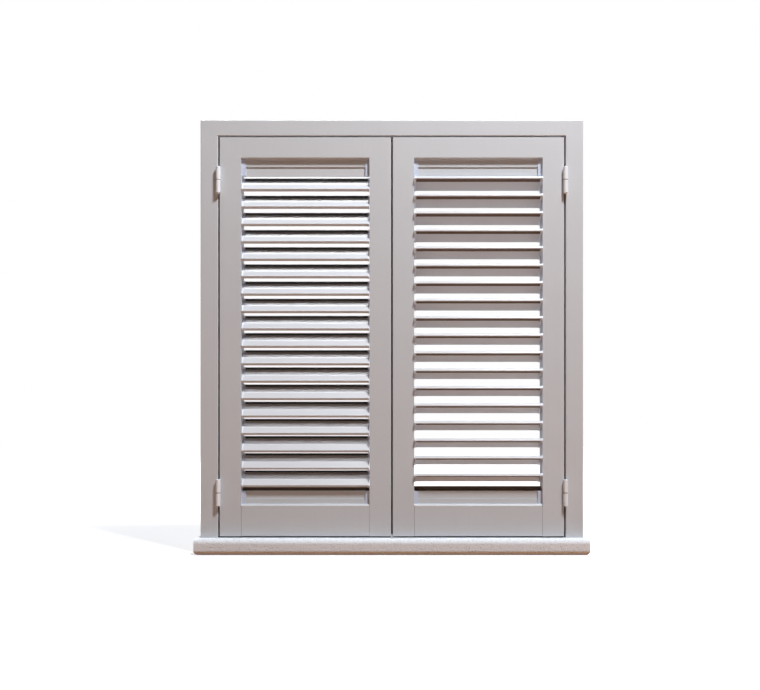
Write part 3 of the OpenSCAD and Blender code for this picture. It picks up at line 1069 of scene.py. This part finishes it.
@dataclass
class SlatRow:
    """The tilting slats of one leaf, each with a seal along its rain stop and a dark strip of painted
    shade behind its lip.

    Attributes:
        side: Half of the window that the slats are in.
        tilt_deg: Tilt of the slats as they stand, nose down.
        count: Number of slats.
        stop_front: Distance of the rain stop's front behind the pivot.
        stop_rise: Height of the rain stop above the pivot.
        seal_foot: Height of the seal's foot above the pivot.
        seal_thickness: Thickness of the seal.
        pile_front: Distance of the painted shade strip's front edge, at the drip lip, before the
            pivot.
        pile_back: Distance of its rear edge before the pivot.
        pile_front_drop: How far the underside lies below the pivot at the strip's front edge.
        pile_back_drop: How far the underside lies below the pivot at its rear edge.
        pile_height: How far the strip stands out of the underside.
        pile_sunk: How far the strip is let into the underside.
        strip_inner: Distance of the strips' inner ends from the middle of the window.
        strip_outer: Distance of the strips' outer ends from the middle of the window.
    """

    side: Side
    tilt_deg: float
    count: int = 18
    stop_front: float = 19.5 * MM
    stop_rise: float = 7 * MM
    seal_foot: float = 1.3 * MM
    seal_thickness: float = 1.2 * MM
    pile_front: float = 25.1 * MM
    pile_back: float = 11 * MM
    pile_front_drop: float = 2.4 * MM
    pile_back_drop: float = 2.16 * MM
    pile_height: float = 0.7 * MM
    pile_sunk: float = 0.1 * MM
    strip_inner: float = 64.5 * MM
    strip_outer: float = 392.5 * MM

    def build(self) -> None:
        """Dresses every slat and adds its seal and the dark strip of painted shade behind its lip."""
        pivots = {joint["child"]: joint["pos_m"] for joint in frame["joints"] if "pos_m" in joint}
        for i in range(1, self.count + 1):
            slat = f"{self.side.word}_slat_{i:02d}"
            dress(slat, SLAT)
            self.strip(f"{slat}_seal", slat, pivots[slat], self.rain_seal(), RUBBER)
            # Behind each drip lip, a dark strip paints the shade under the slat's nose.
            self.strip(f"{slat}_pile", slat, pivots[slat], self.lip_pile(), PAINTED_SHADE_PILE)

    def rain_seal(self) -> Outline:
        """Draws the seal in front of the rain stop.

        Returns:
            Outline around the pivot of a level slat.
        """
        half = self.seal_thickness / 2
        tip = arc((self.stop_front - half, self.stop_rise), half, 0, 180)
        front = self.stop_front - self.seal_thickness
        return [(front, self.seal_foot), (self.stop_front, self.seal_foot)] + tip

    def lip_pile(self) -> Outline:
        """Draws the dark strip of painted shade on the underside, behind the drip lip.

        Returns:
            Outline around the pivot of a level slat.
        """
        return [
            (-self.pile_front, -self.pile_front_drop - self.pile_height),
            (-self.pile_back, -self.pile_back_drop - self.pile_height),
            (-self.pile_back, -self.pile_back_drop + self.pile_sunk),
            (-self.pile_front, -self.pile_front_drop + self.pile_sunk),
        ]

    def strip(self, name: str, slat: str, pivot: Sequence[float], outline: Outline,
              finish: Finish) -> None:
        """Makes a strip that runs along a slat between its end caps.

        Args:
            name: Name of the strip.
            slat: Name of the slat and of its body.
            pivot: Point on the slat's axis.
            outline: Outline of the strip around the pivot of a level slat.
            finish: Finish of the strip.
        """
        cosine = math.cos(math.radians(self.tilt_deg))
        sine = math.sin(math.radians(self.tilt_deg))
        turned = [(pivot[1] + u * cosine - w * sine, pivot[2] + u * sine + w * cosine)
                  for u, w in outline]
        ends = sorted((self.side.value * self.strip_inner, self.side.value * self.strip_outer))
        add_piece(name, *run_along(turned, *ends), finish, slat)


# Studio


@dataclass(frozen=True)
class Lamp:
    """A soft panel of light.

    Attributes:
        name: Name of the lamp.
        place: Middle of the panel.
        aim: Point that the panel faces.
        size: Width and height of the panel.
        power: Power in watts.
        tone: Colour of the light.
    """

    name: str
    place: Point
    aim: Point
    size: tuple[float, float]
    power: float
    tone: str

    def build(self) -> None:
        """Makes the panel."""
        data = bpy.data.lights.new(self.name, "AREA")
        data.shape = "RECTANGLE"
        data.size, data.size_y = self.size
        data.energy = self.power
        data.color = linear(self.tone)[:3]
        lamp = bpy.data.objects.new(self.name, data)
        lamp.location = self.place
        beam = Vector(self.aim) - Vector(self.place)
        lamp.rotation_euler = beam.to_track_quat("-Z", "Y").to_euler()
        lamp.visible_camera = False
        bpy.context.scene.collection.objects.link(lamp)


KEY = Lamp("key panel, front right", place=(1.1, -1.5, 3.7), aim=PART_MIDDLE, size=(0.45, 0.45),
           power=168, tone="#f6faff")
TOP_BACK = Lamp("top panel, behind", place=(0.0, 4.2, 7.2), aim=PART_MIDDLE, size=(4.8, 3.0),
                power=560, tone="#f8faff")


@dataclass
class Studio:
    """Floor, light and camera.

    Attributes:
        photo_size: Width and height of the picture in pixels.
        horizon_row: Row of the picture at the camera's height.
        axis_column: Column of the picture straight ahead of the camera.
        pixels_per_metre: Scale of the picture in the plane of the frame's front.
        distance: Distance of the camera from that plane.
        eye_height: Height of the camera above the floor.
        sensor_mm: Width of the camera's sensor.
        lamps: The panels of light.
        dome_top: Colour of the dome overhead.
        dome_low: Colour of the dome near the floor.
        dome_low_rise: Rise of a direction, as a sine, up to which the dome has its low colour.
        dome_top_rise: Rise of a direction from which it has its top colour.
        dome_strength: Brightness of the dome.
        floor_tone: Colour of the floor as light bounces off it, a pale sand.
        floor_shown: Colour of the floor as it is seen.
        floor_glow: What the floor shows of white by itself near the part.
        glow_start: Distance from the middle at which this glow begins to rise.
        glow_end: Distance at which the floor is white by itself.
        floor_reach: Distance of the floor's edges from the middle.
    """

    photo_size: tuple[int, int] = (760, 690)
    horizon_row: float = 440
    axis_column: float = 391.85
    pixels_per_metre: float = 379
    distance: float = 1.935
    eye_height: float = 0.300
    sensor_mm: float = 36
    lamps: tuple[Lamp, ...] = (KEY, TOP_BACK)
    dome_top: str = "#dfe5f0"
    dome_low: str = "#cbb7a3"
    dome_low_rise: float = -0.3
    dome_top_rise: float = 0.6
    dome_strength: float = 0.08
    floor_tone: str = "#b18564"
    floor_shown: str = "#dadada"
    floor_glow: float = 0.4
    glow_start: float = 0.9
    glow_end: float = 2.6
    floor_reach: float = 30

    def build(self) -> None:
        """Makes camera, world, floor and lamps."""
        self.camera()
        self.world()
        self.floor()
        for lamp in self.lamps:
            lamp.build()
        bpy.context.scene.view_settings.view_transform = "Standard"

    def camera(self) -> None:
        """Makes the camera at the photograph's viewing angle."""
        width, height = self.photo_size
        data = bpy.data.cameras.new("camera")
        data.sensor_width = self.sensor_mm
        data.lens = self.pixels_per_metre * self.distance * self.sensor_mm / width
        data.shift_x = (width / 2 - self.axis_column) / width
        data.shift_y = (self.horizon_row - height / 2) / width
        camera = bpy.data.objects.new("camera", data)
        camera.location = (0, -self.distance, self.eye_height)
        camera.rotation_euler = (math.pi / 2, 0, 0)
        bpy.context.scene.collection.objects.link(camera)
        bpy.context.scene.camera = camera

    def seen_directly(self, tree: bpy.types.NodeTree) -> bpy.types.NodeSocket:
        """Adds the test for rays that show the background.

        Args:
            tree: Node tree that takes the nodes.

        Returns:
            Socket that is 1 for camera, glossy and transmission rays.
        """
        path = add_node(tree, "ShaderNodeLightPath").outputs
        two = add_node(tree, "ShaderNodeMath", {0: path["Is Camera Ray"], 1: path["Is Glossy Ray"]},
                       operation="MAXIMUM")
        three = add_node(tree, "ShaderNodeMath",
                         {0: two.outputs[0], 1: path["Is Transmission Ray"]}, operation="MAXIMUM")
        return three.outputs[0]

    def world(self) -> None:
        """Makes a white background and a soft dome, cool above and warm below."""
        world = bpy.data.worlds.new("studio dome")
        tree = blank_tree(world)
        direction = add_node(tree, "ShaderNodeTexCoord").outputs["Generated"]
        axes = add_node(tree, "ShaderNodeSeparateXYZ", {"Vector": direction})
        rise = add_node(tree, "ShaderNodeMapRange", {
            "Value": axes.outputs["Z"],
            "From Min": self.dome_low_rise,
            "From Max": self.dome_top_rise,
        })
        dome = add_node(tree, "ShaderNodeMix", {
            MIX_FACTOR: rise.outputs[0],
            MIX_FIRST: linear(self.dome_low),
            MIX_SECOND: linear(self.dome_top),
        }, **MIX_COLOURS)
        soft = add_node(tree, "ShaderNodeBackground",
                        {"Color": dome.outputs[MIX_RESULT], "Strength": self.dome_strength})
        white = add_node(tree, "ShaderNodeBackground", {"Color": linear(WHITE), "Strength": 1.0})
        both = add_node(tree, "ShaderNodeMixShader", {
            0: self.seen_directly(tree), 1: soft.outputs[0], 2: white.outputs[0],
        })
        add_node(tree, "ShaderNodeOutputWorld", {"Surface": both.outputs[0]})
        bpy.context.scene.world = world

    def floor(self) -> None:
        """Makes a pale floor that looks white and keeps the shadow."""
        reach = self.floor_reach
        mesh = bpy.data.meshes.new("floor")
        corners = [(-reach, -reach, 0), (reach, -reach, 0), (reach, reach, 0), (-reach, reach, 0)]
        mesh.from_pydata(corners, [], [[0, 1, 2, 3]])
        material = bpy.data.materials.new("pale floor, matt")
        tree = blank_tree(material)
        seen = self.seen_directly(tree)
        tone = add_node(tree, "ShaderNodeMix", {
            MIX_FACTOR: seen,
            MIX_FIRST: linear(self.floor_tone),
            MIX_SECOND: linear(self.floor_shown),
        }, **MIX_COLOURS)
        matt = add_node(tree, "ShaderNodeBsdfDiffuse", {"Color": tone.outputs[MIX_RESULT]})
        place = add_node(tree, "ShaderNodeTexCoord").outputs["Object"]
        away = add_node(tree, "ShaderNodeVectorMath", {0: place}, operation="LENGTH")
        level = add_node(tree, "ShaderNodeMapRange", {
            "Value": away.outputs["Value"], "From Min": self.glow_start, "From Max": self.glow_end,
            "To Min": self.floor_glow, "To Max": 1.0,
        }, interpolation_type="SMOOTHSTEP")
        strength = add_node(tree, "ShaderNodeMath", {0: seen, 1: level.outputs[0]},
                            operation="MULTIPLY")
        glow = add_node(tree, "ShaderNodeEmission",
                        {"Color": linear(WHITE), "Strength": strength.outputs[0]})
        both = add_node(tree, "ShaderNodeAddShader", {0: matt.outputs[0], 1: glow.outputs[0]})
        add_node(tree, "ShaderNodeOutputMaterial", {"Surface": both.outputs[0]})
        mesh.materials.append(material)
        floor = bpy.data.objects.new("floor", mesh)
        bpy.context.scene.collection.objects.link(floor)


def main(studio: Studio) -> None:
    """Builds the studio and every sub-assembly in order.

    Args:
        studio: Floor, light and camera.
    """
    logging.basicConfig(level=logging.INFO, format="%(name)s: %(message)s")
    studio.build()
    assemblies: list[OuterFrame | Leaf | SlatRow] = [
        OuterFrame(),
        Leaf(Side.LEFT, lip_depth=17 * MM, lip_reach=3.2 * MM),
        Leaf(Side.RIGHT, lip_depth=23 * MM, lip_reach=1.2 * MM),
        SlatRow(Side.LEFT, tilt_deg=42.5),
        SlatRow(Side.RIGHT, tilt_deg=-27.5),
    ]
    for assembly in assemblies:
        assembly.build()


if __name__ == "__main__":
    main(Studio())
